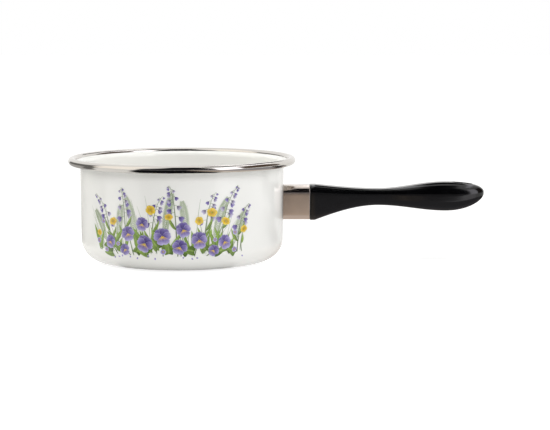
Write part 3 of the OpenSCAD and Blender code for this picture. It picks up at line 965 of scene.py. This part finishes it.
def world_light():
    """White where it is seen, and a weaker, slightly tinted fill where it only lights the object."""
    world = bpy.data.worlds.new("studio")
    bpy.context.scene.world = world
    world.use_nodes = True
    nt = world.node_tree
    nt.nodes.clear()
    out = nt.nodes.new("ShaderNodeOutputWorld")
    mixer = nt.nodes.new("ShaderNodeMixShader")
    nt.links.new(seen_directly(nt), mixer.inputs[0])
    for socket, colour, strength in ((1, WORLD_TINT, WORLD_FILL), (2, (1, 1, 1, 1), WORLD_WHITE)):
        back = nt.nodes.new("ShaderNodeBackground")
        back.inputs["Color"].default_value = colour
        back.inputs["Strength"].default_value = strength
        nt.links.new(back.outputs[0], mixer.inputs[socket])
    nt.links.new(mixer.outputs[0], out.inputs["Surface"])


world_light()


# ---- what the studio looks like in reflections
def direction(az, el):
    """Unit vector: azimuth 0 is towards the camera's side, -Y, and 90 towards +X."""
    a, e = math.radians(az), math.radians(el)
    return Vector((math.sin(a) * math.cos(e), -math.cos(a) * math.cos(e), math.sin(e)))


CENTRE = Vector((0.03, 0.0, 0.05))
DARK, UMBER, SLATE = (0.006, 0.006, 0.007), (0.1, 0.07, 0.055), (0.165, 0.16, 0.155)
ASH, HAZE, BROWN, BEIGE = (0.31, 0.3, 0.315), (0.45, 0.44, 0.43), (0.6, 0.5, 0.415), (0.66, 0.58, 0.52)
TABLE_WHITE, DOME_WHITE, WARM_WHITE = (0.9, 0.89, 0.87), (0.98, 0.97, 0.96), (1.22, 1.16, 1.08)
FLOOR_GLARE, COLLAR_WHITE, BOX_WHITE = (1.4, 1.37, 1.4), (2.2, 2.2, 2.25), (2.4, 2.35, 2.5)
DOME_R, DOME_FOOT, DOME_WIDE, DOME_HIGH = 3.0, -4, 180, 40      # metres, degrees, faces round it and up it
MIRROR_R, MIRROR_WIDE, MIRROR_MIDDLE = 2.9, 288, (0.5, 0.5, 0.5)
CARD_Z = 0.6    # metres above the table


def studio_colour(az, el):
    """The studio's colour in a direction: warm on the left, dark in front of the pan, a bright box to its right."""
    c = blend(DOME_WHITE, WARM_WHITE, span(-97, -42, 2, az) * (1 - step(62, 72, el)))
    c = blend(c, SLATE, span(-150, -94, 2, az) * (1 - step(26, 34, el - 0.5 * (az + 100))))
    c = blend(c, UMBER, span(64, 118, 1.5, az) * (1 - step(40, 55, el)))
    lean = step(15, 55, el)
    dark_front = span(-42 + 20 * lean, 36 - 4 * lean, 1.5, az) * (1 - step(73, 80, el))
    c = blend(c, blend(ASH, DARK, step(1, 12, el)), dark_front)
    return blend(c, BOX_WHITE, span(38, 64, 1.5, az) * span(-6, 46, 3, el))


def rings(count, wide):
    """Faces between rings of equally many points."""
    return [(j * wide + i, j * wide + (i + 1) % wide, (j + 1) * wide + (i + 1) % wide, (j + 1) * wide + i)
            for j in range(count - 1) for i in range(wide)]


def studio_dome():
    verts, colours = [], []
    for j in range(DOME_HIGH + 1):
        el = DOME_FOOT + (90 - DOME_FOOT) * j / DOME_HIGH
        for i in range(DOME_WIDE):
            az = -180 + 360 * i / DOME_WIDE
            verts.append(tuple(CENTRE + direction(az, el) * DOME_R))
            colours.append(studio_colour(az, el))
    reflected_only("studio_dome", verts, rings(DOME_HIGH + 1, DOME_WIDE), colours)


def floor_colour(x, y):
    """The table's colour in reflections: darker towards the camera, where it mirrors the dark front."""
    az, r = math.degrees(math.atan2(x, -y)), math.hypot(x, y)
    c = blend(TABLE_WHITE, DARK, span(-41, 38, 4, az) * step(0.05, 0.075, r))
    c = blend(c, HAZE, span(-150, -85, 3, az) * step(0.12, 0.15, r))
    c = blend(c, SLATE, span(-104 - 46 * step(0.75, 0.85, r), -85, 3, az) * step(0.12, 0.15, r))
    c = blend(c, UMBER, span(64, 118, 4, az) * span(0.15, 0.42, 0.05, r))
    c = blend(c, ASH, span(0.1, 0.5, 0.03, x) * span(-0.6, 0.02, 0.02, y))
    c = blend(c, FLOOR_GLARE, span(38, 64, 2, az) * step(0.28, 0.34, r))
    c = blend(c, ASH, span(0.185, 0.5, 0.015, x) * span(-0.27, 0.02, 0.02, y))
    c = blend(c, BROWN, span(0.07, 0.123, 0.012, x) * span(-0.6, -0.11, 0.05, y))
    return blend(c, BEIGE, span(0.07, 0.123, 0.012, x) * span(-0.11, 0.06, 0.05, y))


def floor_mirror():
    """The floor as reflections see it, on rings that widen outwards."""
    radii, verts, colours = [0.0, 0.03, 0.06], [], []
    while radii[-1] < MIRROR_R:
        radii.append(radii[-1] * 1.09 + 0.003)
    for r in radii:
        for i in range(MIRROR_WIDE):
            a = math.radians(-180 + 360 * i / MIRROR_WIDE)
            x, y = r * math.sin(a), -r * math.cos(a)
            verts.append((x, y, FLOOR_Z / 2))
            colours.append(floor_colour(x, y) if r else MIRROR_MIDDLE)
    reflected_only("floor_mirror", verts, rings(len(radii), MIRROR_WIDE), colours)


def reflected_only(name, verts, faces, colours):
    """A glowing surface that nothing but a reflection shows, and that lights nothing."""
    mat, nt, out = bare_material(name)
    glow = nt.nodes.new("ShaderNodeEmission")
    tint = nt.nodes.new("ShaderNodeAttribute")
    tint.attribute_name = "glow"
    nt.links.new(tint.outputs["Color"], glow.inputs["Color"])
    nt.links.new(glow.outputs[0], out.inputs["Surface"])
    mat.cycles.emission_sampling = "NONE"
    ob = staged(name, verts, faces, mat, colours)
    ob.visible_camera = ob.visible_diffuse = ob.visible_shadow = ob.visible_transmission = False


def card(name, colour, outline):
    """A flat card that hangs over the handle, seen only in reflections."""
    reflected_only(name, [(x, y, CARD_Z) for x, y in outline], [tuple(range(len(outline)))],
                   [colour] * len(outline))


studio_dome()
floor_mirror()
card("flag_over_handle", DARK, [(0.128, -0.2), (0.32, -0.2), (0.32, 0.08), (0.128, 0.08)])
card("flag_behind_handle", DARK, [(0.165, 0.25), (0.38, 0.25), (0.39, 1.2), (0.165, 1.2)])
card("glint_for_collar", COLLAR_WHITE, [(0.113, 0.12), (0.158, 0.12), (0.158, 1.0), (0.113, 1.0)])
card("glint_for_tip", BOX_WHITE, [(0.4, -0.15), (0.48, -0.15), (0.48, 0.5), (0.4, 0.5)])


# ---- lamps
LAMP_DIST = 1.6     # metres


def softbox(name, az, el, width, height, watts, colour):
    """A soft lamp. Reflections see the studio's dome in its place."""
    data = bpy.data.lights.new(name, "AREA")
    data.shape = "RECTANGLE"
    data.size, data.size_y = width, height
    data.energy = watts
    data.color = colour
    ob = new_object(name, data)
    way = direction(az, el)
    ob.location = CENTRE + way * LAMP_DIST
    ob.rotation_euler = way.to_track_quat("Z", "Y").to_euler()
    ob.visible_camera = ob.visible_glossy = False


softbox("softbox_left", -112, 20, 1.2, 1.1, 15.5, (1.0, 1.0, 0.96))
softbox("softbox_right", 62, 20, 0.8, 1.1, 4.8, (0.92, 0.97, 1.0))
softbox("softbox_right_rear", 108, 20, 1.0, 1.1, 9.5, (1.0, 0.98, 0.98))
softbox("softbox_front", 0, 30, 1.2, 0.5, 7.2, (0.99, 0.99, 1.0))
softbox("softbox_top", 0, 84, 0.9, 0.9, 13, (1.0, 1.0, 0.99))
